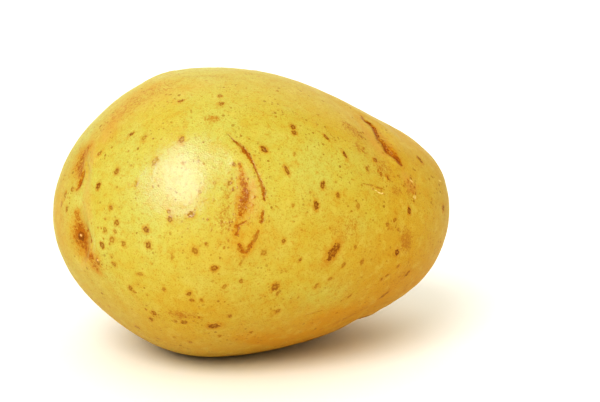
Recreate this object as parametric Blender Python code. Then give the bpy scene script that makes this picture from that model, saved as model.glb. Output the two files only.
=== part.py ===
"""A potato: one tuber, grown whole, lying on the small flat spot that its weight has found.

Blender 4.5, in metres. +X runs along the tuber to its stem end, where it hung from the plant. The blunt
rose end, where the eyes crowd, is at -X. The broad face that carries the largest eye looks to -Y, and +Z
is up. The origin is on the floor, under the middle of the tuber's box.
Run it with: blender --background --python part.py
"""

import math
from collections import namedtuple

import bmesh
import bpy
from mathutils import Matrix, Vector

MM = 0.001

# The tuber's overall size, before its eyes and flat spot are pressed in.
LENGTH = 96 * MM
WIDTH = 74 * MM
HEIGHT = 68.2 * MM

# A place along the tuber is its station: -1 at the rose end, 0 half way, +1 at the stem end.
# GIRTH is how full the tuber is at a station, beside a plain ellipsoid of its size.
# SAG is how far the middle of the tuber lies from the ellipsoid's there: it grew a little bent.
GIRTH = (
    (-1.0, 1.03),
    (-0.75, 1.045),
    (-0.45, 1.075),
    (-0.1, 1.01),
    (0.3, 0.935),
    (0.6, 0.9),
    (0.85, 0.93),
    (1.0, 1.0),
)
SAG = (
    (-1.0, 0.0),
    (-0.4, -0.2 * MM),
    (0.1, -0.6 * MM),
    (0.35, -1.6 * MM),
    (0.65, -3.0 * MM),
    (0.85, -2.4 * MM),
    (1.0, -0.9 * MM),
)

# A turn about the tuber's length is its roll: 0 degrees faces -Y, 90 is the top, 180 the back, -90 the belly.
# Broad swellings and hollows.
Lobe = namedtuple("Lobe", "station roll reach_along reach_round height")
LOBES = (
    Lobe(-0.25, 160, 20 * MM, 18 * MM, 1.6 * MM),
    Lobe(0.45, 190, 16 * MM, 16 * MM, -1.4 * MM),
    Lobe(0.60, -62, 12 * MM, 10 * MM, -1.0 * MM),
    Lobe(-0.82, -52, 8 * MM, 8 * MM, -0.5 * MM),
    Lobe(0.15, 230, 16 * MM, 14 * MM, 0.9 * MM),
    Lobe(-0.60, 95, 12 * MM, 12 * MM, 0.4 * MM),
)

# Each eye is a hollow under a curved brow. The brow is on the stem end's side, and its ends sweep back.
# A tilt turns the eye about the skin's normal.
Eye = namedtuple("Eye", "station roll half_brow depth tilt")
EYES = (
    Eye(-0.18, 20, 13.0 * MM, 0.9 * MM, -2),
    Eye(0.60, 66, 10.5 * MM, 1.3 * MM, 24),
    Eye(-0.88, -4, 8.5 * MM, 2.4 * MM, -10),
    Eye(-0.85, 58, 7.5 * MM, 1.8 * MM, 8),
    Eye(0.52, -68, 8.0 * MM, 0.7 * MM, 0),
    Eye(-0.45, 120, 11.0 * MM, 1.5 * MM, 6),
    Eye(-0.72, 195, 9.0 * MM, 1.8 * MM, 0),
    Eye(0.10, 175, 12.0 * MM, 1.6 * MM, -8),
    Eye(-0.30, 245, 10.5 * MM, 1.5 * MM, 5),
    Eye(0.60, 215, 9.0 * MM, 1.2 * MM, 12),
    Eye(-0.95, 150, 5.0 * MM, 1.2 * MM, 0),
)

# The shape that every eye shares. Lengths are shares of its half brow, heights of its depth.
BROW_CURL = 0.5  # how far the brow's ends sweep back
BROW_PLACE = 0.27
BROW_THICK = 0.16
BROW_RISE = 0.45
HOLLOW_STEEP = 0.20  # the hollow's reach under the brow
HOLLOW_GENTLE = 0.55  # and away from it
EYE_WIDE = 0.72
EYE_EDGE = 3  # the skin is plain this far from an eye's middle

STEM_SCAR = 4.0 * MM
STEM_SCAR_DEPTH = 1.6 * MM
FLAT_DEPTH = 1.0 * MM  # how far the flat spot is pressed into the belly

GRID = 24  # faces along each side of the cube that is blown up into the tuber
FINE_REACH = 1.15  # the faces are cut finer this far round each eye, in half brows
SLOPE_STEP = 0.01  # the step in station over which the skin's slope is measured
ROLL_STEP = 1

SKIN_COLOUR = (0.72, 0.48, 0.09, 1)
SKIN_ROUGHNESS = 0.45


def smooth_value(stations, at):
    """The value at one place of a smooth curve through (place, value) pairs."""
    last = len(stations) - 1
    passed = sum(1 for place, _ in stations if place <= at)
    i = max(0, min(last - 1, passed - 1))
    slopes = []
    for k in (i, i + 1):
        before = stations[max(0, k - 1)]
        after = stations[min(last, k + 1)]
        slopes.append((after[1] - before[1]) / (after[0] - before[0]))
    (x0, y0), (x1, y1) = stations[i], stations[i + 1]
    span = x1 - x0
    t = (at - x0) / span
    rise = 3 * t**2 - 2 * t**3
    return y0 + (y1 - y0) * rise + span * (slopes[0] * (t**3 - 2 * t**2 + t) + slopes[1] * (t**3 - t**2))


def bell(x, width):
    return math.exp(-((x / width) ** 2))


def direction_of(station, roll):
    """The unit vector from the tuber's middle to a place on its skin."""
    across = math.sqrt(max(0.0, 1 - station**2))
    turn = math.radians(roll)
    return Vector((station, -across * math.cos(turn), across * math.sin(turn)))


def egg_point(direction):
    """The tuber's plain rounded form in that direction."""
    x, y, z = direction
    girth = smooth_value(GIRTH, x)
    return Vector((x * LENGTH / 2, y * girth * WIDTH / 2, z * girth * HEIGHT / 2 + smooth_value(SAG, x)))


def skin_frame(station, roll, tilt=0):
    """A place on the egg: its point, its outward normal, the way to the stem end and the way across."""
    point = egg_point(direction_of(station, roll))
    before = egg_point(direction_of(station - SLOPE_STEP, roll))
    after = egg_point(direction_of(station + SLOPE_STEP, roll))
    below = egg_point(direction_of(station, roll - ROLL_STEP))
    above = egg_point(direction_of(station, roll + ROLL_STEP))
    along = (after - before).normalized()
    normal = along.cross(above - below).normalized()
    along = Matrix.Rotation(math.radians(tilt), 3, normal) @ along
    return point, normal, along, normal.cross(along)


def lobe_relief(point, lobe, frame):
    centre, normal, along, across = frame
    offset = point - centre
    fade = bell(offset.dot(along), lobe.reach_along) * bell(offset.dot(across), lobe.reach_round)
    return lobe.height * fade * bell(offset.dot(normal), HEIGHT / 3)


def eye_relief(point, eye, frame):
    """The height of the skin in and round an eye: a hollow, steep on the brow's side, and the brow itself."""
    centre, _, along, across = frame
    offset = (point - centre) / eye.half_brow
    if offset.length > EYE_EDGE:
        return 0
    sideways = offset.dot(across)
    bowed = offset.dot(along) + BROW_CURL * sideways**2
    hollow = bell(bowed, HOLLOW_STEEP if bowed > 0 else HOLLOW_GENTLE)
    brow = BROW_RISE * bell(bowed - BROW_PLACE, BROW_THICK)
    return eye.depth * (brow - hollow) * bell(sideways, EYE_WIDE)


def tuber_point(direction, lobes, eyes):
    """The skin in that direction, with its lobes, its eyes and the dimple that the stem left."""
    egg = egg_point(direction)
    point = egg.copy()
    for lobe, frame in lobes:
        point += frame[1] * lobe_relief(egg, lobe, frame)
    for eye, frame in eyes:
        point += frame[1] * eye_relief(egg, eye, frame)
    stem = egg_point(Vector((1, 0, 0)))
    point.x -= STEM_SCAR_DEPTH * bell((egg - stem).length, STEM_SCAR)
    return point


def round_cube(eyes):
    """A cube cut into a grid and blown up to a unit sphere of nearly even faces, finer round the eyes."""
    mesh = bmesh.new()
    bmesh.ops.create_cube(mesh, size=2)
    bmesh.ops.subdivide_edges(mesh, edges=mesh.edges[:], cuts=GRID - 1, use_grid_fill=True)
    for vert in mesh.verts:
        vert.co = Vector(math.tan(c * math.pi / 4) for c in vert.co).normalized()
    spots = [(frame[0], eye.half_brow * FINE_REACH) for eye, frame in eyes]
    near = {v for v in mesh.verts if any((egg_point(v.co) - spot).length < reach for spot, reach in spots)}
    edges = [edge for edge in mesh.edges if near.issuperset(edge.verts)]
    bmesh.ops.subdivide_edges(mesh, edges=edges, cuts=1, use_grid_fill=True)
    for vert in mesh.verts:
        vert.co.normalize()
    return mesh


def press_flat(mesh):
    """Presses the flat spot into the belly, and leaves the tuber standing on the floor."""
    lowest = min(vert.co.z for vert in mesh.verts)
    for vert in mesh.verts:
        vert.co.z = max(vert.co.z - lowest - FLAT_DEPTH, 0)


def centre_over_origin(mesh):
    for axis in (0, 1):
        places = [vert.co[axis] for vert in mesh.verts]
        middle = (min(places) + max(places)) / 2
        for vert in mesh.verts:
            vert.co[axis] -= middle


def skin_material():
    material = bpy.data.materials.new("potato_skin")
    material.use_nodes = True
    shader = material.node_tree.nodes["Principled BSDF"]
    shader.inputs["Base Color"].default_value = SKIN_COLOUR
    shader.inputs["Roughness"].default_value = SKIN_ROUGHNESS
    shader.inputs["Metallic"].default_value = 0
    return material


def make_potato():
    lobes = [(lobe, skin_frame(lobe.station, lobe.roll)) for lobe in LOBES]
    eyes = [(eye, skin_frame(eye.station, eye.roll, eye.tilt)) for eye in EYES]
    mesh = round_cube(eyes)
    for vert in mesh.verts:
        vert.co = tuber_point(vert.co, lobes, eyes)
    press_flat(mesh)
    centre_over_origin(mesh)
    bmesh.ops.recalc_face_normals(mesh, faces=mesh.faces[:])
    data = bpy.data.meshes.new("potato")
    mesh.to_mesh(data)
    mesh.free()
    data.shade_smooth()
    data.materials.append(skin_material())
    return bpy.data.objects.new("potato", data)


def main():
    for old in list(bpy.data.objects):
        bpy.data.objects.remove(old)
    collection = bpy.data.collections.new("potato")
    bpy.context.scene.collection.children.link(collection)
    collection.objects.link(make_potato())


main()
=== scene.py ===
"""How the potato looks: a washed, yellow-skinned tuber lying on a white table in soft studio light.

The tuber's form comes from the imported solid. This script smooths a copy of it, presses the fine relief of
the skin into that copy, and colours it.
"""

import math
import random
from collections import namedtuple

import bmesh
import bpy
import numpy as np
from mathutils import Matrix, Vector, noise
from mathutils.bvhtree import BVHTree


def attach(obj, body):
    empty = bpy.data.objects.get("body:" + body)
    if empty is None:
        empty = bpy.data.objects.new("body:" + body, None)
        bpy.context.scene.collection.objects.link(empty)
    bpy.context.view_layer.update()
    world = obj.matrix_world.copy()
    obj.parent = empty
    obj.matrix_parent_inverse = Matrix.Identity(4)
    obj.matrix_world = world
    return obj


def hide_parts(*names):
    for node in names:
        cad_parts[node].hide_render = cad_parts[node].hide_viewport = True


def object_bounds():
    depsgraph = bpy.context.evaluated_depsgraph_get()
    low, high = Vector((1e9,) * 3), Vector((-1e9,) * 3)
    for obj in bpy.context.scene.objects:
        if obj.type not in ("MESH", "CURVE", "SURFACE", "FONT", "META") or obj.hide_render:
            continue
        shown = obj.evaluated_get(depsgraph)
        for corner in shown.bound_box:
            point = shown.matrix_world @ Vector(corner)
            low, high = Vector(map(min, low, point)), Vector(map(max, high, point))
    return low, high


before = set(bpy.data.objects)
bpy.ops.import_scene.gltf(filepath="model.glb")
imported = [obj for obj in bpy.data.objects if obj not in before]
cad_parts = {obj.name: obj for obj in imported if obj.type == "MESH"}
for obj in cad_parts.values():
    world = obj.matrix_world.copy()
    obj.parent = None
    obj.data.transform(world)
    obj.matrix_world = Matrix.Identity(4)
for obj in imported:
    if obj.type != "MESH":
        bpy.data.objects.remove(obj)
cad_low, cad_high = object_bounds()

MM = 0.001
SEED = 11

# The camera, and the plane through the tuber that it faces. Marks on the near side are placed on that
# plane, in millimetres to the right of AIM and up from it, and dropped onto the skin along the line of
# sight.
CAMERA_TURN = -12
CAMERA_RISE = 14
CAMERA_GAP = 0.42
CAMERA_LENS = 104.5
AIM = Vector((11.5, -2.1, 35.4)) * MM

# Each lamp: the way it comes from, its breadth in degrees, its strength and its colour. The glint and the
# backdrop only add to the shine on the skin. The room's own light is a little warm.
Lamp = namedtuple("Lamp", "name source breadth strength colour shine_only")
LAMPS = (
    Lamp("softbox", (-0.454, -0.581, 0.676), 38, 1.04, (1.0, 1.0, 1.02), False),
    Lamp("fill", (0.25, -0.8, 0.55), 70, 0.26, (1.0, 1.0, 0.7), False),
    Lamp("overhead", (-0.15, 0.4, 0.9), 60, 0.15, (1.0, 1.0, 1.0), False),
    Lamp("glint", (-0.5, -0.57, 0.652), 59, 3.0, (0.55, 1.1, 2.5), True),
    Lamp("backdrop", (0.2, 0.9, 0.45), 70, 0.4, (1.0, 1.0, 0.9), True),
)
ROOM_COLOUR = (1.0, 0.97, 0.88, 1)
ROOM_STRENGTH = 0.53
TABLE_SIZE = 4

turn, rise = math.radians(CAMERA_TURN), math.radians(CAMERA_RISE)
BACK = Vector((math.sin(turn) * math.cos(rise), -math.cos(turn) * math.cos(rise), math.sin(rise)))
RIGHT = Vector((0, 0, 1)).cross(BACK).normalized()
UP = BACK.cross(RIGHT)
EYE_POINT = AIM + BACK * CAMERA_GAP

# Corky spots on the near side: right, up, length and width in millimetres, lean from upright in degrees
# (towards the right at the top), darkness from 0 to 1.
SPOTS = (
    (8.0, -12.3, 4.2, 1.9, 40, 0.85),
    (23.4, -12.3, 1.5, 1.2, 0, 0.95),
    (26.3, -2.4, 1.7, 0.9, 0, 1.0),
    (-20.7, -30.1, 2.6, 1.7, 80, 0.8),
    (-6.0, -20.7, 2.0, 1.4, 20, 0.75),
    (-5.5, -22.3, 1.0, 0.7, 0, 0.6),
    (-28.0, -29.2, 1.5, 1.2, 60, 0.7),
    (-30.0, -29.0, 1.1, 0.8, 0, 0.5),
    (25.8, -17.6, 2.2, 0.8, 55, 0.75),
    (20.2, -22.7, 2.6, 0.8, 60, 0.7),
    (-1.7, 17.8, 1.4, 1.2, 0, 0.8),
    (-1.4, 16.5, 1.2, 1.2, 0, 0.75),
    (-8.7, 12.5, 1.6, 1.2, -30, 0.85),
    (-3.1, 7.4, 2.0, 1.0, -12, 0.75),
    (5.5, 3.9, 1.5, 1.0, 20, 0.85),
    (9.2, 1.4, 1.2, 0.9, 0, 0.75),
    (3.9, -1.0, 2.0, 1.2, 10, 0.9),
    (10.8, 11.1, 1.9, 0.9, -22, 0.9),
    (6.3, 15.4, 1.6, 0.8, -45, 0.8),
    (18.1, 9.9, 1.2, 1.0, 30, 0.7),
    (16.2, 7.7, 1.5, 0.8, -10, 0.65),
    (19.5, 6.5, 1.3, 0.7, 0, 0.7),
    (21.2, 5.5, 1.2, 0.8, 0, 0.75),
    (28.9, 9.9, 2.0, 1.0, -28, 0.75),
    (-3.9, -9.6, 1.1, 0.9, 30, 0.7),
    (0.0, -14.2, 1.0, 0.6, 20, 0.7),
    (-8.7, -12.5, 1.3, 1.0, 40, 0.45),
    (14.9, -14.7, 1.3, 0.9, 20, 0.5),
    (10.5, -15.4, 1.3, 0.8, 30, 0.55),
    (14.0, -1.2, 1.2, 0.9, 10, 0.45),
    (22.9, -4.6, 1.1, 0.9, 20, 0.6),
    (21.0, -5.7, 1.2, 0.9, 40, 0.6),
    (23.8, -6.9, 0.8, 0.7, 0, 0.5),
    (34.5, -1.7, 1.6, 1.3, 0, 0.7),
    (13.3, -11.1, 0.8, 0.7, 0, 0.6),
    (23.6, -15.7, 0.8, 0.8, 0, 0.6),
    (-28.7, 24.1, 1.3, 0.8, 70, 0.8),
    (-19.3, 25.3, 1.1, 0.9, 0, 0.6),
    (-19.0, 23.4, 1.3, 1.1, 60, 0.7),
    (-28.6, 14.7, 1.9, 1.2, 0, 0.6),
    (-37.6, 15.2, 1.6, 1.1, 35, 0.5),
    (-40.5, 16.2, 1.5, 0.8, 75, 0.8),
    (-34.9, 9.6, 2.0, 1.5, 20, 0.4),
    (-44.2, 7.1, 1.6, 1.2, 25, 0.65),
    (-48.3, 11.4, 1.4, 0.9, 25, 0.6),
    (-48.6, 3.6, 1.6, 1.1, 15, 0.9),
    (-39.5, 4.1, 1.4, 1.0, 10, 0.35),
    (-45.6, -1.6, 1.1, 1.0, 0, 0.65),
    (-44.2, -5.2, 1.3, 1.2, 20, 0.7),
    (-47.0, -7.0, 1.3, 1.1, 20, 0.55),
    (-44.6, -7.4, 1.0, 0.9, 0, 0.5),
    (-47.7, -10.6, 1.5, 1.1, -20, 0.8),
    (-45.3, -9.4, 1.5, 1.3, 50, 0.5),
    (-42.5, -10.4, 1.2, 0.9, -15, 0.6),
    (-44.8, -15.3, 1.3, 0.9, -60, 0.6),
    (-37.1, -6.9, 1.4, 1.3, 10, 0.75),
    (-36.6, -10.6, 1.5, 1.4, 0, 0.8),
    (-31.6, -2.5, 0.9, 0.8, 0, 0.5),
    (-31.3, -4.3, 1.4, 1.2, 0, 0.65),
    (-26.3, -3.3, 1.7, 1.3, 60, 0.6),
    (-25.3, -12.0, 1.5, 1.4, 0, 0.55),
    (-22.6, -10.4, 0.7, 0.6, 0, 0.6),
    (-30.8, -13.4, 1.8, 0.7, 10, 0.4),
    (-20.7, -16.2, 1.4, 1.2, 90, 0.75),
    (-15.9, 8.9, 1.0, 0.9, 0, 0.6),
    (-14.6, 9.0, 0.7, 0.6, 0, 0.6),
    (-16.9, 4.4, 1.2, 1.0, 80, 0.55),
    (-16.1, 2.9, 0.7, 0.6, 0, 0.65),
    (-56.6, 1.4, 1.8, 1.2, 0, 0.5),
    (-57.5, -0.8, 1.5, 1.1, 0, 0.5),
    (-56.2, -2.0, 1.3, 1.0, 0, 0.55),
    (-54.9, 2.8, 1.3, 1.1, 0, 0.5),
    (-40.9, -21.0, 1.2, 1.1, 0, 0.7),
    (-40.0, -21.8, 0.9, 0.8, 0, 0.5),
    (-32.8, -21.2, 0.9, 0.8, 0, 0.6),
    (-38.5, -17.6, 1.4, 0.8, 85, 0.5),
    (-26.8, -22.4, 1.2, 1.0, 40, 0.7),
    (-26.0, -23.9, 1.1, 0.8, 90, 0.6),
    (-23.8, -23.9, 0.9, 0.8, 0, 0.55),
    (-18.2, -20.6, 1.4, 0.9, 40, 0.45),
    (-14.2, -19.3, 0.9, 0.8, 0, 0.55),
    (-35.2, -27.0, 1.3, 1.1, 0, 0.7),
    (-35.9, -28.4, 1.4, 1.1, 30, 0.6),
    (-16.9, -27.7, 1.0, 0.8, 0, 0.7),
    (-39.3, -30.4, 1.3, 1.0, 60, 0.6),
    (-34.0, -33.2, 1.5, 0.8, 80, 0.5),
    (-26.5, -34.0, 1.1, 0.9, 0, 0.5),
    (-19.3, -32.6, 1.0, 0.8, 0, 0.45),
    (-11.8, -31.6, 0.9, 0.7, 0, 0.5),
    (-5.4, -26.6, 1.3, 1.0, 20, 0.6),
    (3.9, -20.5, 1.3, 0.8, 20, 0.55),
    (7.3, -18.8, 1.2, 0.7, 70, 0.5),
    (11.8, -23.1, 1.3, 0.6, 50, 0.5),
    (19.6, -18.9, 0.9, 0.7, 0, 0.6),
    (21.0, -17.9, 1.0, 0.7, 60, 0.5),
    (-52.7, -8.3, 2.1, 2.2, 0, 0.85),
    (-48.7, -14.6, 1.6, 1.2, 0, 0.6),
)

# Corky spots scattered over the whole tuber: how many, the tries for each, the gap that each keeps, and how
# far that gap varies. On the near side they are faint and small. Sizes are in millimetres.
FAR_SPOTS = 300
FAR_SPOT_TRIES = 4
FAR_SPOT_GAP = 3.2 * MM
GAP_RANGE = (0.8, 1.7)
FAINT_SIZES = (0.2, 0.42)
FAINT_DARKNESS = (0.15, 0.45)
FAR_SIZES = (0.45, 0.6, 0.8, 1.05)
FAR_DARKNESS = (0.35, 0.95)
ROUNDNESS = (0.6, 1)

# Lines in the skin: each is a run of (right, up, width) in millimetres, then how dark it is. A pale scratch
# has a darkness below 0, and the groove is how deep the line is pressed.
Line = namedtuple("Line", "route darkness groove")
LINES = (
    Line(
        (
            (-17.6, 16.4, 0.2),
            (-16.3, 15.0, 0.25),
            (-14.7, 13.6, 0.85),
            (-13.3, 12.1, 1.15),
            (-12.3, 10.8, 0.8),
            (-11.1, 8.7, 0.45),
            (-9.9, 6.0, 0.5),
            (-9.2, 4.1, 0.75),
            (-8.7, 2.7, 0.85),
            (-8.6, 1.2, 0.7),
            (-8.5, 0.0, 0.3),
        ),
        0.9,
        0.04 * MM,
    ),
    Line(((-8.7, -2.2, 0.3), (-9.0, -3.6, 0.7), (-9.2, -4.7, 0.9), (-9.4, -5.4, 0.4)), 0.8, 0.04 * MM),
    Line(
        ((-9.9, -7.0, 0.5), (-10.8, -9.1, 0.9), (-11.9, -10.8, 0.9), (-13.2, -12.7, 1.1)),
        0.85,
        0.08 * MM,
    ),
    Line(((-14.9, -10.3, 0.8), (-14.2, -11.6, 1.1), (-13.2, -12.8, 1.0)), 0.8, 0.08 * MM),
    Line(((-13.4, -13.2, 0.8), (-14.5, -15.6, 0.5)), 0.35, 0.0),
    Line(
        (
            (-12.8, -4.7, 0.3),
            (-14.3, -5.5, 0.6),
            (-15.1, -6.1, 0.8),
            (-15.0, -7.2, 0.7),
            (-15.4, -8.4, 1.1),
        ),
        0.75,
        0.0,
    ),
    Line(
        (
            (14.7, 20.6, 0.6),
            (15.6, 19.5, 1.0),
            (16.6, 18.8, 0.9),
            (17.6, 17.9, 1.1),
            (18.3, 16.4, 1.0),
            (19.1, 14.9, 1.5),
            (20.2, 13.6, 1.2),
            (20.9, 12.0, 1.5),
            (22.3, 10.9, 1.2),
            (23.4, 10.1, 1.4),
            (24.6, 8.4, 0.8),
        ),
        1.0,
        0.3 * MM,
    ),
    Line(((-51.1, -6.8, 0.4), (-50.7, -8.4, 0.9), (-50.4, -10.1, 0.6)), 1.0, 0.4 * MM),
    Line(((-52.0, 7.6, 0.4), (-52.2, 6.8, 0.8), (-52.4, 5.9, 0.5), (-53.4, 3.1, 0.5)), 0.7, 0.3 * MM),
    Line(((15.2, 4.1, 0.2), (17.8, 3.6, 0.5), (20.7, 2.6, 0.3)), 0.6, 0.08 * MM),
    Line(((17.3, 3.1, 0.2), (18.7, 2.3, 0.35), (20.0, 1.7, 0.5)), -0.75, 0.05 * MM),
    Line(((26.5, 5.1, 0.4), (27.3, 4.6, 0.6)), -0.6, 0.0),
    Line(((27.3, 1.0, 0.6), (28.0, 0.8, 0.8)), -0.4, 0.0),
    Line(((33.4, 4.9, 0.5), (34.0, 4.8, 0.5)), -0.5, 0.0),
    Line(((1.2, -27.6, 0.2), (3.2, -27.1, 0.4), (5.6, -26.3, 0.2)), 0.4, 0.05 * MM),
    Line(((5.9, 17.9, 0.2), (7.6, 15.9, 0.3), (9.0, 14.3, 0.2)), 0.35, 0.05 * MM),
    Line(((13.4, 7.4, 0.2), (15.0, 6.0, 0.3)), 0.4, 0.05 * MM),
)
LINE_STEP = 0.4 * MM

# A dark line's soft russet edge: its reach to each side in line widths, a little more in millimetres, and
# its strength.
HALO_WIDTH = 0.8
HALO_EDGE = 0.2
HALO_STRENGTH = 0.4

# Soft bands of colour that follow a run of (right, up, reach) in millimetres, then their strength.
# Russet is the orange brown of a hollow, and blush the pale pinkish tan of a rubbed crest; the band on the
# middle eye's crest is painted sheen.
RUSSET_BANDS = (
    (
        ((-50.6, 13.5, 1.2), (-52.7, 9.9, 3.3), (-53.0, 8.0, 2.8), (-52.9, 5.5, 1.6), (-53.7, 2.9, 1.0)),
        0.82,
    ),
    (
        (
            (-53.9, -2.7, 1.2),
            (-53.2, -5.5, 2.4),
            (-53.0, -8.0, 3.6),
            (-52.2, -10.4, 3.0),
            (-50.8, -12.8, 2.6),
            (-49.6, -15.2, 2.1),
            (-48.7, -16.8, 1.3),
        ),
        0.85,
    ),
    (((18.0, 17.8, 0.6), (19.6, 15.6, 0.7)), 0.5),
    (((20.4, 15.0, 0.6), (21.5, 13.3, 0.9), (22.9, 11.4, 1.0), (24.0, 9.6, 0.7)), 0.65),
    (
        (
            (-14.4, 8.9, 0.5),
            (-13.9, 5.5, 1.0),
            (-13.3, 3.1, 1.5),
            (-13.4, 0.7, 1.8),
            (-13.9, -1.7, 1.7),
            (-14.3, -3.8, 1.0),
        ),
        0.78,
    ),
    (((-15.2, -5.5, 0.9), (-15.8, -8.4, 0.9)), 0.5),
    (((-14.4, -11.0, 0.9), (-13.2, -12.4, 1.2), (-11.8, -11.0, 1.0)), 0.35),
)
BLUSH_AND_SHEEN_BANDS = (
    (((-47.0, 15.5, 2.2), (-44.2, 20.8, 3.4), (-40.2, 25.0, 3.4), (-34.5, 28.0, 2.4)), 0.6),
    (((13.6, 20.6, 0.8), (15.6, 17.2, 1.3), (17.6, 14.2, 1.5), (20.0, 11.4, 1.2)), 0.7),
    (
        ((-50.2, 15.5, 1.0), (-50.0, 11.0, 1.4), (-51.0, 6.0, 1.2), (-51.5, 1.0, 1.6), (-51.0, -4.0, 1.2)),
        0.6,
    ),
    # Painted sheen on the middle eye's crest.
    (((-11.4, 5.0, 0.9), (-10.7, 1.0, 1.3), (-11.0, -3.0, 1.1)), 0.3),
    (((-49.0, 17.0, 2.0), (-43.0, 21.5, 3.2), (-35.0, 25.0, 3.2), (-24.0, 28.0, 2.4)), 0.3),
    (((25.4, 6.0, 1.2), (27.0, 3.5, 1.8)), 0.6),
)

# Soft stains on the near side: right, up, reach along, reach across in millimetres, lean, strength. A stain
# fades with its depth, so it doesn't come through on the far side.
STAIN_DEPTH = 4 * MM
RUSSET_STAINS = (
    (-12.7, 0.8, 7.5, 2.8, 4, 0.25),
    (-52.2, -8.2, 2.0, 2.2, 0, 0.3),
    (-52.2, 9.0, 1.8, 1.4, 20, 0.2),
    (8.0, -12.3, 3.0, 1.6, 40, 0.35),
    (-21.0, 19.8, 1.4, 0.9, 80, 0.4),
)
# Tan scuffs. The rows on the left rim and along the lower edge are painted shade.
SCUFFS_AND_EDGE_SHADE = (
    (-43.2, 21.6, 11.0, 5.0, 48, 0.5),
    (-32.0, 27.3, 9.0, 4.5, 70, 0.34),
    # Painted shade on the left rim.
    (-57.5, -2.0, 12.0, 3.2, 0, 0.3),
    (-21.0, 19.8, 2.6, 1.3, 80, 0.75),
    (-20.0, 30.0, 8.0, 1.5, 90, 0.45),
    (13.5, 16.2, 3.4, 2.0, -50, 0.5),
    (14.5, 12.6, 2.6, 1.6, -60, 0.55),
    (11.0, 18.5, 3.0, 3.0, 0, 0.35),
    (26.8, 3.2, 3.2, 2.4, 20, 0.7),
    (23.2, 2.2, 1.6, 1.3, 90, 0.7),
    (20.0, 8.0, 3.6, 3.4, 0, 0.6),
    (25.6, -9.6, 3.4, 2.1, -20, 1.0),
    (22.0, -6.0, 3.2, 2.0, 50, 0.45),
    (12.5, -6.5, 4.0, 2.2, 30, 0.5),
    (8.5, -6.5, 3.2, 2.0, 0, 0.4),
    (-28.3, -27.5, 4.5, 1.4, 85, 0.8),
    (-18.6, -4.5, 4.2, 2.2, 0, 0.55),
    (-17.5, 2.0, 4.0, 1.6, 0, 0.4),
    (-51.5, -1.5, 5.0, 2.0, 0, 0.35),
    (24.0, -18.5, 6.0, 2.0, 55, 0.5),
    # Painted shade along the lower edge.
    (12.0, -27.8, 8.0, 1.6, 70, 0.6),
    (-30.0, -35.0, 9.0, 1.6, 90, 0.35),
)

# Where the skin swells or sinks a little: right, up, reach along, reach across in millimetres, lean, lift.
SWELLS = (
    (-13.0, 1.0, 13.0, 8.0, 4, -0.45),
    (17.6, 14.6, 4.5, 1.4, -39, 0.15),
    (-32.5, 30.6, 4.0, 5.0, 60, -0.28),
)

# Where the solid's relief is too strong for the skin and is taken back: right, up, reach along, reach
# across in millimetres, lean, strength (a strength above 1 takes all of it back in the middle).
CALMED = (
    (19.4, 15.2, 8.0, 3.6, -39, 1.8),
    (-14.0, 2.5, 13.0, 7.5, 4, 1.3),
    (-14.0, -6.0, 5.0, 5.0, 0, 1.0),
    (-50.6, 8.0, 8.0, 3.2, 2, 1.1),
    (-50.2, -2.0, 6.0, 3.2, 0, 1.1),
    (-49.8, -13.0, 5.0, 3.0, -20, 1.1),
)
CALM_ROUNDS = 160

# Where the skin is warmer, or more lemon below 0: right, up, reach along, reach across, lean, strength. The
# rows on the left rim and along the lower edge are painted shade.
WARMTH_AND_EDGE_SHADE = (
    (-2.4, 14.5, 9.0, 13.0, 0, -0.4),
    (11.0, 7.5, 6.0, 9.0, 0, -0.4),
    (4.8, -23.0, 4.0, 11.0, 12, -0.4),
    (-42.0, -16.0, 9.0, 8.0, 0, -0.1),
    (17.3, -3.4, 4.0, 4.5, 0, -0.3),
    (-46.0, 17.0, 6.0, 4.0, 40, 0.3),
    (-22.0, -26.0, 5.0, 9.0, 0, 0.25),
    (-12.0, -8.8, 5.0, 8.0, 0, 0.45),
    # Painted shade on the left rim.
    (-58.5, -3.5, 13.0, 4.5, 0, 0.6),
    (-51.6, -13.0, 5.0, 4.0, 0, 0.4),
    (-19.3, -15.0, 5.0, 6.0, 0, 0.25),
    # Painted shade along the lower edge.
    (11.0, -28.0, 3.0, 7.0, 0, 0.7),
    (-2.4, -33.5, 2.5, 14.0, 0, 0.9),
)

# The eyes on the far side: place along the tuber in millimetres, roll about it (0 faces -Y, 90 is the top),
# half the brow's length, tilt. AXIS_HEIGHT is how high the tuber's axis lies, as a share of its height.
AXIS_HEIGHT = 0.48
Eye = namedtuple("Eye", "along roll half_brow tilt")
FAR_EYES = (
    Eye(25, -68, 8.0, 0),
    Eye(-22, 120, 11.0, 6),
    Eye(-35, 195, 9.0, 0),
    Eye(5, 175, 12.0, -8),
    Eye(-14, 245, 10.5, 5),
    Eye(29, 215, 9.0, 12),
    Eye(-45.5, 150, 5.0, 0),
)
EYE_SEARCH = 5 * MM
HOLLOW_ROUNDS = 60

# The crease of a far eye, in half brows: half its length, how far it lies under the brow and how it curls.
CREASE_HALF = 0.8
CREASE_PLACE = 0.16
BROW_CURL = 0.5
CREASE_POINTS = 33
CREASE_ENDS = 0.3  # width in millimetres
CREASE_SWELL = 0.9  # how much wider it is in the middle
CREASE_DARKNESS = 0.7
CREASE_GROOVE = 0.35 * MM

# The russet of a far eye: its strength, then its length, breadth and reach in half brows.
EYE_RUSSET = 0.9
EYE_RUSSET_LENGTH = 0.5
EYE_RUSSET_BREADTH = 0.22
EYE_RUSSET_REACH = 0.6

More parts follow.
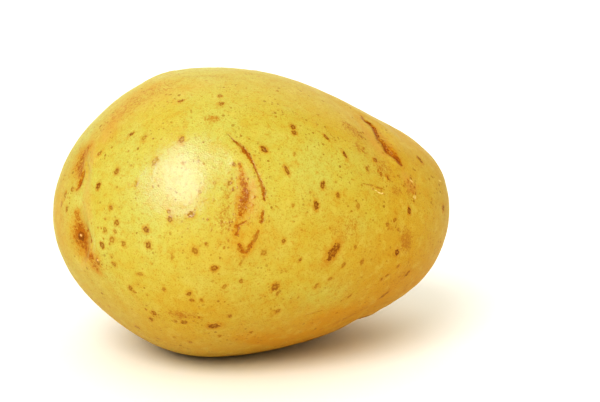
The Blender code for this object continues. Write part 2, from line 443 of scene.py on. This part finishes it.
# Small dark dots crowded in and beside an eye: right, up, scatter across, scatter upwards, how many. A far
# eye's dots scatter by shares of its half brow.
EYE_DOTS = 9
EYE_DOT_SCATTER = (0.05, 0.4)
DOT_SIZES = (0.14, 0.3)
DOT_DARKNESS = (0.2, 0.75)
DOTTED = (
    (-13.7, 1.0, 1.0, 3.9, 22),
    (-16.8, 2.5, 0.9, 3.5, 7),
    (-18.4, -5.0, 1.6, 2.8, 10),
    (-17.0, -6.6, 0.5, 1.0, 5),
    (12.6, 17.4, 2.2, 1.3, 16),
    (15.4, 15.6, 1.2, 1.0, 8),
    (14.6, 12.4, 1.2, 1.0, 6),
    (22.0, -6.0, 1.4, 1.0, 5),
    (25.6, -10.0, 0.9, 1.2, 7),
    (-28.0, -27.6, 2.4, 0.7, 9),
    (-34.5, -27.5, 1.6, 1.4, 6),
    (-55.5, 0.5, 1.4, 2.5, 8),
    (-47.0, -7.5, 1.8, 2.5, 7),
    (26.8, 3.0, 2.2, 1.8, 18),
    (15.8, 19.4, 0.7, 0.6, 7),
    (17.6, 17.6, 0.5, 0.7, 7),
    (18.9, 15.4, 0.5, 0.8, 8),
    (20.4, 13.1, 0.6, 0.8, 8),
    (22.1, 11.2, 0.7, 0.6, 7),
    (23.7, 9.7, 0.6, 0.6, 6),
    (19.5, 6.5, 4.0, 3.0, 10),
)

# Pale buds that stand in the near side's deep eyes: right, up, size. Each stands up by BUD_HEIGHT of its
# size, spreads over BUD_REACH of it and is pale over BUD_TIP of it.
BUDS = ((-52.7, -8.2, 0.85), (-48.6, -14.2, 0.75), (-50.6, 9.0, 0.6))
FAR_BUD_SIZE = 0.9
BUD_HEIGHT = 0.5
BUD_REACH = 0.6
BUD_TIP = 0.5

# How the solid's faces are merged, joined in pairs and smoothed.
MERGE_GAP = 0.001 * MM
JOIN_ANGLE = math.radians(40)
SMOOTHING = 2

# The skin's faint waves: their length, height and seed. Then how high a spot's rim stands, and how far to
# each side of its line a groove reaches.
WAVES = ((7 * MM, 0.1 * MM, 1), (2.2 * MM, 0.035 * MM, 2))
SPOT_LIFT = 0.1 * MM
GROOVE_REACH = 0.55 * MM

# A spot smaller than this counts as this size when the nearest one is sought. Points are measured in lots,
# and how far they lie from a mark is stored up to a limit, in the mark's own size.
SMALLEST_SPOT = 0.4 * MM
LOT = 4000
FARTHEST = 50

Mark = namedtuple("Mark", "centre tangent side start half_length half_width tone")


def hex_colour(text):
    """A colour as the eye sees it, '#rrggbb', in the linear values that shaders take."""
    parts = [int(text[i : i + 2], 16) / 255 for i in (1, 3, 5)]
    return (*[c / 12.92 if c <= 0.04045 else ((c + 0.055) / 1.055) ** 2.4 for c in parts], 1)


# ---- The tuber's mesh ----


def smooth_copy(node):
    """A copy of the solid with its triangles joined to four-sided faces and smoothed."""
    mesh = bmesh.new()
    mesh.from_mesh(node.data)
    bmesh.ops.remove_doubles(mesh, verts=mesh.verts[:], dist=MERGE_GAP)
    bmesh.ops.join_triangles(
        mesh,
        faces=mesh.faces[:],
        angle_face_threshold=JOIN_ANGLE,
        angle_shape_threshold=JOIN_ANGLE,
    )
    data = bpy.data.meshes.new("skin")
    mesh.to_mesh(data)
    mesh.free()
    piece = bpy.data.objects.new("potato_skin", data)
    bpy.context.scene.collection.objects.link(piece)
    finer = piece.modifiers.new("finer", "SUBSURF")
    finer.levels = finer.render_levels = SMOOTHING
    finished = piece.evaluated_get(bpy.context.evaluated_depsgraph_get())
    piece.data = bpy.data.meshes.new_from_object(finished)
    piece.modifiers.clear()
    piece.data.materials.clear()
    return piece


def points_of(data):
    places = np.empty(len(data.vertices) * 3)
    data.vertices.foreach_get("co", places)
    return places.reshape(-1, 3)


def normals_of(data):
    values = np.empty(len(data.vertices) * 3, np.float32)
    data.vertex_normals.foreach_get("vector", values)
    return values.reshape(-1, 3).astype(float)


def hollow_depth(data, rounds):
    """How far each point lies below the smoothed skin: above 0 in a hollow, below 0 on a crest."""
    mesh = bmesh.new()
    mesh.from_mesh(data)
    every_way = {"use_axis_x": True, "use_axis_y": True, "use_axis_z": True}
    for _ in range(rounds):
        bmesh.ops.smooth_vert(mesh, verts=mesh.verts[:], factor=1, **every_way)
    smoothed = np.array([vert.co for vert in mesh.verts])
    mesh.free()
    depth = ((smoothed - points_of(data)) * normals_of(data)).sum(1)
    return depth - np.median(depth)


def calm(data, skin):
    """Takes back some of the solid's relief."""
    points = points_of(data)
    share = np.minimum(stain_strength(points, CALMED, skin), 1)
    moved = points + normals_of(data) * (share * hollow_depth(data, CALM_ROUNDS))[:, None]
    data.vertices.foreach_set("co", moved.astype(np.float32).ravel())
    data.update()


# ---- Places on the skin ----


class Skin:
    """The tuber's surface, for finding places on it."""

    def __init__(self, data):
        self.tree = BVHTree.FromPolygons([v.co for v in data.vertices], [p.vertices for p in data.polygons])

    def near_side(self, right, up):
        """The place and normal under a point of the plane that faces the camera, in millimetres."""
        target = AIM + (RIGHT * right + UP * up) * MM
        place, normal, _, _ = self.tree.ray_cast(EYE_POINT, (target - EYE_POINT).normalized())
        return place, normal

    def round_axis(self, along, roll):
        """The place and normal beside the tuber's axis."""
        start = Vector((along * MM, 0, cad_high.z * AXIS_HEIGHT))
        angle = math.radians(roll)
        outward = Vector((0, -math.cos(angle), math.sin(angle)))
        place, normal, _, _ = self.tree.ray_cast(start, outward)
        return place, normal

    def nearest(self, place):
        found, normal, _, _ = self.tree.find_nearest(place)
        return found, normal


def flat_on(direction, normal):
    """The part of a direction that lies in the skin."""
    return (direction - normal * direction.dot(normal)).normalized()


def leaning(normal, lean):
    """The way that a mark points, seen from the front: upright, or leaning to the right by some degrees."""
    angle = math.radians(lean)
    return flat_on(UP * math.cos(angle) + RIGHT * math.sin(angle), normal)


def near_spots(skin):
    marks = []
    for right, up, length, width, lean, darkness in SPOTS:
        place, normal = skin.near_side(right, up)
        tangent = leaning(normal, lean)
        side = normal.cross(tangent)
        marks.append(Mark(place, tangent, side, 0, length / 2 * MM, width / 2 * MM, darkness))
    return marks


def far_spots(skin, marks, draw):
    """Corky spots scattered over the whole tuber, smaller where the named ones already lie."""
    near = [mark.centre for mark in marks]
    middle = (cad_low + cad_high) / 2
    kept = []
    for _ in range(FAR_SPOTS * FAR_SPOT_TRIES):
        height = draw.uniform(-1, 1)
        angle = draw.uniform(0, 2 * math.pi)
        ring = math.sqrt(1 - height**2)
        outward = Vector((height, ring * math.cos(angle), ring * math.sin(angle)))
        place, normal, _, _ = skin.tree.ray_cast(middle, outward)
        on_near_side = normal.dot(EYE_POINT - place) > 0
        gap = FAR_SPOT_GAP * draw.uniform(*GAP_RANGE)
        if min((place - other).length for other in near + [m.centre for m in kept]) < gap:
            continue
        size = draw.uniform(*FAINT_SIZES) if on_near_side else draw.choice(FAR_SIZES)
        tangent = flat_on(Vector((draw.gauss(0, 1), draw.gauss(0, 1), draw.gauss(0, 1))), normal)
        side = normal.cross(tangent)
        stretch = draw.uniform(*ROUNDNESS)
        darkness = draw.uniform(*(FAINT_DARKNESS if on_near_side else FAR_DARKNESS))
        kept.append(Mark(place, tangent, side, 0, size * MM, size * stretch * MM, darkness))
        if len(kept) == FAR_SPOTS:
            break
    return kept


def bud_dots(centre, across, along, reach, count, draw, skin):
    """Small dark dots crowded in an eye's hollow. The reach is how far they scatter across and along it."""
    dots = []
    for _ in range(count):
        place = centre + across * draw.gauss(0, reach[0]) + along * draw.gauss(0, reach[1])
        place, normal = skin.nearest(place)
        size = draw.uniform(*DOT_SIZES) * MM
        tangent = flat_on(along, normal)
        side = normal.cross(tangent)
        width = size * draw.uniform(*ROUNDNESS)
        dots.append(Mark(place, tangent, side, 0, size, width, draw.uniform(*DOT_DARKNESS)))
    return dots


def curve_through(route):
    """Closely spaced points along a smooth curve through a line's own points."""
    ends = [route[0]] + list(route) + [route[-1]]
    points = []
    for before, start, end, after in zip(ends, ends[1:], ends[2:], ends[3:]):
        p0, p1, p2, p3 = (np.array(p) for p in (before, start, end, after))
        steps = max(2, int(np.linalg.norm((p2 - p1)[:2]) * MM / LINE_STEP))
        slope = p2 - p0
        bend = 2 * p0 - 5 * p1 + 4 * p2 - p3
        twist = 3 * p1 - p0 - 3 * p2 + p3
        for t in np.arange(steps) / steps:
            points.append(0.5 * (2 * p1 + slope * t + bend * t**2 + twist * t**3))
    return points + [np.array(route[-1])]


def line_marks(places, widths, darkness):
    """A chain of marks along a line: each carries how far along it lies."""
    lengths = [0.0]
    for a, b in zip(places, places[1:]):
        lengths.append(lengths[-1] + (b[0] - a[0]).length)
    half = lengths[-1] / 2
    marks = []
    for i, (place, normal) in enumerate(places):
        before, after = places[max(0, i - 1)][0], places[min(len(places) - 1, i + 1)][0]
        tangent = flat_on(after - before, normal)
        side = normal.cross(tangent)
        marks.append(Mark(place, tangent, side, lengths[i] - half, half, widths[i] / 2 * MM, darkness))
    return marks


def near_lines(skin):
    chains = []
    for line in LINES:
        points = curve_through(line.route)
        places = [skin.near_side(right, up) for right, up, _ in points]
        chains.append((line_marks(places, [p[2] for p in points], line.darkness), line.groove))
    return chains


def eye_places(skin, depth, points, normals):
    """Each far eye's deepest point, with the way to its brow and the way across it."""
    found = []
    for eye in FAR_EYES:
        guess, _ = skin.round_axis(eye.along, eye.roll)
        close = np.linalg.norm(points - np.array(guess), axis=1) < EYE_SEARCH
        index = np.where(close)[0][depth[close].argmax()]
        place, normal = Vector(points[index]), Vector(normals[index])
        level = flat_on(Vector((1, 0, 0)), normal)
        upright = normal.cross(level)
        angle = math.radians(eye.tilt)
        along = level * math.cos(angle) + upright * math.sin(angle)
        across = upright * math.cos(angle) - level * math.sin(angle)
        found.append((eye, place, along, across))
    return found


def far_lines(skin, eyes):
    chains = []
    for eye, place, along, across in eyes:
        reach = eye.half_brow * MM
        places = []
        widths = []
        for s in np.linspace(-CREASE_HALF, CREASE_HALF, CREASE_POINTS):
            target = place + across * s * reach + along * (CREASE_PLACE - BROW_CURL * s**2) * reach
            places.append(skin.nearest(target))
            widths.append(CREASE_SWELL * (1 - (s / CREASE_HALF) ** 2) + CREASE_ENDS)
        chains.append((line_marks(places, widths, CREASE_DARKNESS), CREASE_GROOVE))
    return chains


# ---- Marks carried by the mesh ----


def nearest_marks(points, marks, by_size):
    """For each point, the number of its nearest mark. By size, a gap is counted in the mark's own size."""
    centres = np.array([m.centre for m in marks])
    sizes = np.array([max(m.half_width, SMALLEST_SPOT) if by_size else 1 for m in marks])
    chosen = np.empty(len(points), int)
    for start in range(0, len(points), LOT):
        part = points[start : start + LOT]
        gaps = (part**2).sum(1)[:, None] - 2 * part @ centres.T + (centres**2).sum(1)[None]
        chosen[start : start + LOT] = (gaps / sizes[None] ** 2).argmin(1)
    return chosen


def spot_coordinates(points, chosen, marks):
    """How far each point lies along and across its spot, 1 at its rim, and the spot's tone."""
    centre, tangent, side = (np.array([m[k] for m in marks])[chosen] for k in range(3))
    half_length, half_width, tone = (np.array([m[k] for m in marks])[chosen] for k in range(4, 7))
    offset = points - centre
    along = (offset * tangent).sum(1) / half_length
    across = (offset * side).sum(1) / half_width
    return np.stack([along, across, tone], 1)


def line_coordinates(points, chosen, marks):
    """How far each point lies along its line, from -1 to 1, how far aside in half widths, and its tone."""
    centre, tangent, side = (np.array([m[k] for m in marks])[chosen] for k in range(3))
    start, half_length, half_width, tone = (np.array([m[k] for m in marks])[chosen] for k in range(3, 7))
    offset = points - centre
    onward = np.clip((offset * tangent).sum(1), -LINE_STEP, LINE_STEP)
    gap = np.sqrt(np.maximum((offset**2).sum(1) - onward**2, 0))
    across = np.where((offset * side).sum(1) < 0, -gap, gap) / half_width
    return np.stack([(onward + start) / half_length, across, tone], 1)


def lay_marks(data, name, marks, by_size, coordinates):
    """Stores mark coordinates on each face's corners, so that a mark's edge is sharp inside the face."""
    points = points_of(data)
    corners = np.empty(len(data.loops), int)
    data.loops.foreach_get("vertex_index", corners)
    totals = np.empty(len(data.polygons), int)
    data.polygons.foreach_get("loop_total", totals)
    middles = np.empty(len(data.polygons) * 3)
    data.polygons.foreach_get("center", middles)
    chosen = nearest_marks(middles.reshape(-1, 3), marks, by_size)
    values = coordinates(points[corners], np.repeat(chosen, totals), marks)
    values = np.clip(values, -FARTHEST, FARTHEST)
    layer = data.attributes.new(name, "FLOAT_VECTOR", "CORNER")
    layer.data.foreach_set("vector", values.astype(np.float32).ravel())


def store(data, name, values):
    layer = data.attributes.new(name, "FLOAT", "POINT")
    layer.data.foreach_set("value", values.astype(np.float32))


def bell(x):
    return np.exp(-(x**2))


def stain_strength(points, stains, skin):
    total = np.zeros(len(points))
    for right, up, reach_along, reach_across, lean, strength in stains:
        place, normal = skin.near_side(right, up)
        tangent = leaning(normal, lean)
        offset = points - np.array(place)
        along = offset @ np.array(tangent) / (reach_along * MM)
        across = offset @ np.array(normal.cross(tangent)) / (reach_across * MM)
        off = offset @ np.array(normal) / STAIN_DEPTH
        total += strength * bell(along) * bell(across) * bell(off)
    return total


def band_strength(points, bands, skin):
    """Like stains, but following a run along the skin."""
    total = np.zeros(len(points))
    for route, strength in bands:
        run = curve_through(route)
        places = np.array([skin.near_side(right, up)[0] for right, up, _ in run])
        reaches = np.array([reach for _, _, reach in run]) * MM
        gaps = np.linalg.norm(points[:, None] - places[None, ::2], axis=2) / reaches[None, ::2]
        total = np.maximum(total, strength * bell(gaps.min(1)))
    return total


# ---- The skin's relief ----


def waviness(points, size, seed):
    shift = Vector((seed, seed * 2, seed * 3))
    return np.array([noise.noise(Vector(p) / size + shift) for p in points])


def press_relief(data, skin, spots, chains, buds):
    """Moves the skin in and out: its faint waves, the corky spots, the creases and the buds."""
    points = points_of(data)
    normals = normals_of(data)
    lift = np.zeros(len(points))
    for length, height, seed in WAVES:
        lift += height * waviness(points, length, seed)
    chosen = nearest_marks(points, spots, True)
    along, across, tone = spot_coordinates(points, chosen, spots).T
    radius = np.hypot(along, across)
    rim = bell((radius - 1.1) / 0.5)
    pit = 1.3 * bell(radius / 0.6)
    lift += SPOT_LIFT * tone * (rim - pit)
    for marks, groove in chains:
        chosen = nearest_marks(points, marks, False)
        along, across, _ = line_coordinates(points, chosen, marks).T
        width = np.array([m.half_width for m in marks])[chosen]
        gap = np.abs(across) * width
        fading = np.clip(4 * (1.02 - np.abs(along)), 0, 1)
        lift -= groove * bell(gap / GROOVE_REACH) * fading
    lift += stain_strength(points, SWELLS, skin) * MM
    for place, size in buds:
        gap = np.linalg.norm(points - np.array(place), axis=1)
        lift += BUD_HEIGHT * size * MM * bell(gap / (size * BUD_REACH * MM))
    moved = points + normals * lift[:, None]
    data.vertices.foreach_set("co", moved.astype(np.float32).ravel())
    data.update()


# ---- Materials ----


def put(tree, kind, inputs=None, **settings):
    """Adds a node. An input is another node's output, or a value."""
    made = tree.nodes.new("ShaderNode" + kind)
    for name, value in settings.items():
        setattr(made, name, value)
    for name, value in (inputs or {}).items():
        if isinstance(value, bpy.types.NodeSocket):
            tree.links.new(value, made.inputs[name])
        else:
            made.inputs[name].default_value = value
    return made


def maths(tree, operation, a, b=0.0, clamp=False):
    return put(tree, "Math", {0: a, 1: b}, operation=operation, use_clamp=clamp).outputs[0]


def times(tree, a, b, clamp=False):
    return maths(tree, "MULTIPLY", a, b, clamp)


def plus(tree, a, b, clamp=False):
    return maths(tree, "ADD", a, b, clamp)


def minus(tree, a, b):
    return maths(tree, "SUBTRACT", a, b)


def vector_maths(tree, operation, inputs, output="Vector"):
    return put(tree, "VectorMath", inputs, operation=operation).outputs[output]


def step(tree, value, low, high):
    """0 at low, 1 at high, level beyond them and smooth between them."""
    inputs = {"Value": value, "From Min": low, "From Max": high}
    return put(tree, "MapRange", inputs, interpolation_type="SMOOTHSTEP").outputs["Result"]


def tint(tree, share, under, over):
    """One colour laid over another."""
    return put(tree, "Mix", {0: share, 6: under, 7: over}, data_type="RGBA").outputs[2]


def lay(tree, colour, over, share, strength=1.0):
    """A plain colour, '#rrggbb', laid over another."""
    return tint(tree, times(tree, share, strength), colour, hex_colour(over))


def grain(tree, place, scale, detail=3.0, roughness=0.55):
    inputs = {"Vector": place, "Scale": scale, "Detail": detail, "Roughness": roughness}
    return put(tree, "TexNoise", inputs)


def attribute(tree, name, output="Fac"):
    return put(tree, "Attribute", attribute_name=name).outputs[output]


def pricks(tree, place, scale, biggest):
    """Tiny round dots of many sizes, one at most to each cell of the pattern."""
    cells = put(tree, "TexVoronoi", {"Vector": place, "Scale": scale}, feature="F1")
    luck = put(tree, "SeparateColor", {0: cells.outputs["Color"]}).outputs[0]
    radius = times(tree, step(tree, luck, 0.3, 1.0), biggest)
    dot = step(tree, minus(tree, cells.outputs["Distance"], radius), 0.03, -0.03)
    return times(tree, dot, step(tree, luck, 0.3, 0.45))


Grains = namedtuple("Grains", "broad mottle fleck fine")


def skin_grains(tree, place):
    """Cloudy patterns, from the broadest to the finest."""
    return Grains(
        grain(tree, place, 0.06).outputs["Fac"],
        grain(tree, place, 0.4, 4, 0.6).outputs["Fac"],
        grain(tree, place, 1.3, 3, 0.65).outputs["Fac"],
        grain(tree, place, 3.4, 2, 0.6).outputs["Fac"],
    )


def ground(tree, place, grains):
    """Lemon yellow, clouded and flecked, with painted shade that makes it warmer underneath and towards the
    stem end, the side away from the main lamp.
    """
    axes = put(tree, "SeparateXYZ", {0: place})
    colour = tint(tree, step(tree, grains.broad, 0.35, 0.65), hex_colour("#c0ba66"), hex_colour("#c1b254"))
    # Painted shade: the base colour turns warmer towards the bottom and towards the stem end.
    low = times(tree, step(tree, axes.outputs[2], 38, 2), 0.7)
    stemward_shade = times(tree, step(tree, axes.outputs[0], -18, 38), 0.6)
    warm = plus(tree, plus(tree, low, stemward_shade), attribute(tree, "warmth_and_edge_shade"), clamp=True)
    colour = lay(tree, colour, "#c29422", warm)
    colour = lay(tree, colour, "#c19028", step(tree, grains.mottle, 0.48, 0.68), 0.25)
    colour = lay(tree, colour, "#cfc16d", step(tree, grains.mottle, 0.5, 0.32), 0.25)
    colour = lay(tree, colour, "#b67f1e", step(tree, grains.fleck, 0.52, 0.7), 0.4)
    return lay(tree, colour, "#a97e1e", step(tree, grains.fine, 0.48, 0.72), 0.45)


def rubbed(tree, colour, grains):
    """Tan scuffs, broken up by the flecks, with painted shade on the left rim and the lower edge, and the
    paler tan of a rubbed crest, painted sheen on the middle eye's crest.
    """
    # Scuffs, some of which are painted shade on the left rim and the lower edge.
    broken = times(tree, attribute(tree, "scuff_and_edge_shade"), minus(tree, times(tree, grains.fleck, 2.4), 0.4))
    broken = times(tree, broken, times(tree, grains.fine, 2.0))
    colour = lay(tree, colour, "#aa7222", step(tree, broken, 0.15, 0.75), 0.65)
    # Pale tan of rubbed crests, with painted sheen on the middle eye's crest.
    blush_and_sheen = times(tree, attribute(tree, "blush_and_sheen"), plus(tree, grains.fleck, 0.3), clamp=True)
    return lay(tree, colour, "#c89a54", blush_and_sheen, 0.8), blush_and_sheen


def russeted(tree, colour, grains):
    """Russet gathered in the hollows: a soft orange wash, with darker grains crowding its heart."""
    russet = attribute(tree, "russet")
    wash = times(tree, russet, times(tree, grains.fleck, 2.0), clamp=True)
    colour = lay(tree, colour, "#bc8012", wash, 0.85)
    heart = times(tree, russet, minus(tree, plus(tree, grains.fleck, grains.fine), 0.3))
    heart = step(tree, heart, 0.45, 0.72)
    return lay(tree, colour, "#9a5c00", heart, 0.75), heart


def specked(tree, colour, place):
    """Pin-prick specks of two sizes, crowded in some places."""
    crowded = step(tree, grain(tree, place, 0.16, 1, 0.5).outputs["Fac"], 0.42, 0.62)
    speck = times(tree, pricks(tree, place, 0.58, 0.22), crowded)
    prick = times(tree, pricks(tree, place, 1.1, 0.3), crowded)
    colour = lay(tree, colour, "#93600a", speck, 0.6)
    return lay(tree, colour, "#93600a", prick, 0.4), speck


def spotted(tree, colour, place):
    """Corky spots: a ragged brown ring round a lighter middle."""
    spot = put(tree, "SeparateXYZ", {0: attribute(tree, "spot", "Vector")})
    darkness = spot.outputs[2]
    flat = put(tree, "CombineXYZ", {0: spot.outputs[0], 1: spot.outputs[1]}).outputs[0]
    warp = grain(tree, place, 1.6, 2).outputs["Color"]
    warp = vector_maths(tree, "SUBTRACT", {0: warp, 1: (0.5, 0.5, 0.5)})
    warp = vector_maths(tree, "SCALE", {0: warp, "Scale": 2.0})
    ragged = vector_maths(tree, "ADD", {0: flat, 1: warp})
    ragged = vector_maths(tree, "MULTIPLY", {0: ragged, 1: (1, 1, 0)})
    reach = vector_maths(tree, "LENGTH", {0: ragged}, "Value")
    halo = times(tree, step(tree, reach, 2.3, 0.8), 0.65)
    disc = step(tree, reach, 1.15, 0.7)
    core = step(tree, reach, 0.75, 0.15)
    colour = lay(tree, colour, "#b87c14", times(tree, halo, darkness))
    cork = tint(tree, darkness, hex_colour("#aa7206"), hex_colour("#723c00"))
    ring = minus(tree, disc, times(tree, core, 0.75))
    ring = times(tree, ring, plus(tree, times(tree, darkness, 0.8), 0.14))
    return tint(tree, ring, colour, cork), disc, core


def lined(tree, colour, grains):
    """Dark creases and pale scratches, with ragged edges."""
    line = put(tree, "SeparateXYZ", {0: attribute(tree, "line", "Vector")})
    wobble = plus(tree, times(tree, grains.fleck, 3.0), times(tree, grains.fine, 3.4))
    across = maths(tree, "ABSOLUTE", plus(tree, line.outputs[1], minus(tree, wobble, 3.2)))
    along = maths(tree, "ABSOLUTE", line.outputs[0])
    drawn = times(tree, step(tree, across, 1.4, 0.55), step(tree, along, 1.03, 0.96))
    patchy = plus(tree, times(tree, step(tree, grains.mottle, 0.4, 0.58), 0.35), 0.65)
    drawn = times(tree, drawn, patchy)
    dark = times(tree, drawn, line.outputs[2], clamp=True)
    pale = times(tree, drawn, times(tree, line.outputs[2], -1.0), clamp=True)
    burnt = tint(tree, step(tree, grains.fine, 0.38, 0.62), hex_colour("#864600"), hex_colour("#ac6e0a"))
    colour = tint(tree, dark, colour, burnt)
    return lay(tree, colour, "#ead9a0", pale), dark


def fine_relief(tree, grains, speck, disc, core, dark):
    """Grain too fine for the mesh. Specks, creases and the middles of spots sink, and spots stand up."""
    height = plus(tree, times(tree, grains.fine, 0.7), times(tree, grains.fleck, 0.6))
    height = minus(tree, height, times(tree, core, 0.4))
    height = plus(tree, height, times(tree, disc, 0.6))
    height = minus(tree, height, times(tree, speck, 0.3))
    height = minus(tree, height, times(tree, dark, 0.5))
    inputs = {"Height": height, "Strength": 0.5, "Distance": 0.12 * MM}
    return put(tree, "Bump", inputs).outputs["Normal"]


def skin_roughness(tree, grains, normal, blush_and_sheen, marked):
    """A soft shine, duller on a rubbed crest and where the skin turns away, glossier on dark marks."""
    turned = step(tree, put(tree, "LayerWeight", {"Normal": normal}).outputs["Facing"], 0.25, 0.8)
    rough = plus(tree, times(tree, grains.mottle, 0.1), 0.17)
    rough = plus(tree, rough, times(tree, blush_and_sheen, 0.25))
    rough = plus(tree, rough, times(tree, turned, 0.24))
    return minus(tree, rough, times(tree, marked, 0.08))


def skin_material():
    material = bpy.data.materials.new("potato_skin")
    material.use_nodes = True
    tree = material.node_tree
    tree.nodes.clear()
    coords = put(tree, "TexCoord").outputs["Object"]
    place = vector_maths(tree, "SCALE", {0: coords, "Scale": 1 / MM})
    grains = skin_grains(tree, place)

    colour = ground(tree, place, grains)
    colour, blush_and_sheen = rubbed(tree, colour, grains)
    colour, heart = russeted(tree, colour, grains)
    colour, speck = specked(tree, colour, place)
    colour, disc, core = spotted(tree, colour, place)
    colour, dark = lined(tree, colour, grains)
    colour = lay(tree, colour, "#dcb676", step(tree, attribute(tree, "bud"), 0.35, 0.75))

    normal = fine_relief(tree, grains, speck, disc, core, dark)
    marked = maths(tree, "MAXIMUM", maths(tree, "MAXIMUM", disc, dark), times(tree, heart, 0.7))
    shader = put(
        tree,
        "BsdfPrincipled",
        {
            "Base Color": colour,
            "Roughness": skin_roughness(tree, grains, normal, blush_and_sheen, marked),
            "Normal": normal,
            "Subsurface Weight": 0.12,
            "Subsurface Radius": (1.0, 0.45, 0.12),
            "Subsurface Scale": 2.5 * MM,
            "Specular IOR Level": 0.27,
            "Specular Tint": (1.0, 0.97, 0.85, 1),
        },
    )
    output = put(tree, "OutputMaterial")
    tree.links.new(shader.outputs["BSDF"], output.inputs["Surface"])
    return material


def table_material():
    material = bpy.data.materials.new("white_table")
    material.use_nodes = True
    shader = material.node_tree.nodes["Principled BSDF"]
    shader.inputs["Base Color"].default_value = (0.93, 0.92, 0.9, 1)
    shader.inputs["Roughness"].default_value = 0.7
    return material


# ---- The piece ----


def line_halos():
    """A soft band along each dark line."""
    halos = []
    for line in LINES:
        if line.darkness > 0:
            route = [(right, up, width * HALO_WIDTH + HALO_EDGE) for right, up, width in line.route]
            halos.append((route, line.darkness))
    return halos


def eye_russet(points, eyes):
    """The russet of the far side's hollows."""
    total = np.zeros(len(points))
    for eye, place, along, across in eyes:
        offset = points - np.array(place)
        reach = eye.half_brow * MM
        lengthways = bell(offset @ np.array(across) / (EYE_RUSSET_LENGTH * reach))
        sideways = bell(offset @ np.array(along) / (EYE_RUSSET_BREADTH * reach))
        near = bell(np.linalg.norm(offset, axis=1) / (EYE_RUSSET_REACH * reach))
        total += EYE_RUSSET * lengthways * sideways * near
    return total


def bud_strength(points, buds):
    total = np.zeros(len(points))
    for place, size in buds:
        total += bell(np.linalg.norm(points - np.array(place), axis=1) / (size * BUD_TIP * MM))
    return total


def make_skin():
    piece = smooth_copy(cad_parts["potato"])
    data = piece.data
    calm(data, Skin(data))
    skin = Skin(data)
    draw = random.Random(SEED)
    eyes = eye_places(skin, hollow_depth(data, HOLLOW_ROUNDS), points_of(data), normals_of(data))

    spots = near_spots(skin)
    spots += far_spots(skin, spots, draw)
    for right, up, reach_across, reach_along, count in DOTTED:
        place, _ = skin.near_side(right, up)
        spots += bud_dots(place, RIGHT, UP, (reach_across * MM, reach_along * MM), count, draw, skin)
    for eye, place, along, across in eyes:
        reach = [share * eye.half_brow * MM for share in EYE_DOT_SCATTER]
        spots += bud_dots(place, along, across, reach, EYE_DOTS, draw, skin)
    chains = near_lines(skin) + far_lines(skin, eyes)
    buds = [(skin.near_side(right, up)[0], size) for right, up, size in BUDS]
    buds += [(place, FAR_BUD_SIZE) for _, place, _, _ in eyes]

    points = points_of(data)
    russet = stain_strength(points, RUSSET_STAINS, skin) + band_strength(points, RUSSET_BANDS, skin)
    russet += HALO_STRENGTH * band_strength(points, line_halos(), skin)
    store(data, "russet", russet + eye_russet(points, eyes))
    store(data, "blush_and_sheen", band_strength(points, BLUSH_AND_SHEEN_BANDS, skin))
    store(data, "scuff_and_edge_shade", stain_strength(points, SCUFFS_AND_EDGE_SHADE, skin))
    store(data, "warmth_and_edge_shade", stain_strength(points, WARMTH_AND_EDGE_SHADE, skin))
    store(data, "bud", bud_strength(points, buds))
    lay_marks(data, "spot", spots, True, spot_coordinates)
    lay_marks(data, "line", [mark for marks, _ in chains for mark in marks], False, line_coordinates)
    press_relief(data, skin, spots, chains, buds)
    data.shade_smooth()
    data.materials.append(skin_material())
    return piece


def make_table():
    bpy.ops.mesh.primitive_plane_add(size=TABLE_SIZE)
    table = bpy.context.object
    table.name = "white_table"
    table.data.materials.append(table_material())
    return table


def make_lamps():
    """Broad lamps, far enough off to light the whole table evenly."""
    for row in LAMPS:
        lamp = bpy.data.objects.new(row.name, bpy.data.lights.new(row.name, "SUN"))
        lamp.data.angle = math.radians(row.breadth)
        lamp.data.energy = row.strength
        lamp.data.color = row.colour
        lamp.visible_diffuse = not row.shine_only
        lamp.rotation_euler = Vector(row.source).to_track_quat("Z", "Y").to_euler()
        bpy.context.scene.collection.objects.link(lamp)


def make_world():
    world = bpy.data.worlds.new("studio")
    bpy.context.scene.world = world
    world.use_nodes = True
    background = world.node_tree.nodes["Background"]
    background.inputs["Color"].default_value = ROOM_COLOUR
    background.inputs["Strength"].default_value = ROOM_STRENGTH


def make_camera():
    camera = bpy.data.objects.new("camera", bpy.data.cameras.new("camera"))
    camera.data.lens = CAMERA_LENS
    camera.data.clip_start = 10 * MM
    camera.location = EYE_POINT
    camera.rotation_euler = BACK.to_track_quat("Z", "Y").to_euler()
    bpy.context.scene.collection.objects.link(camera)
    bpy.context.scene.camera = camera


potato = make_skin()
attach(potato, "root")
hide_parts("potato")
make_table()
make_world()
make_lamps()
make_camera()
bpy.context.scene.view_settings.view_transform = "Standard"
bpy.context.scene.view_settings.look = "Very High Contrast"
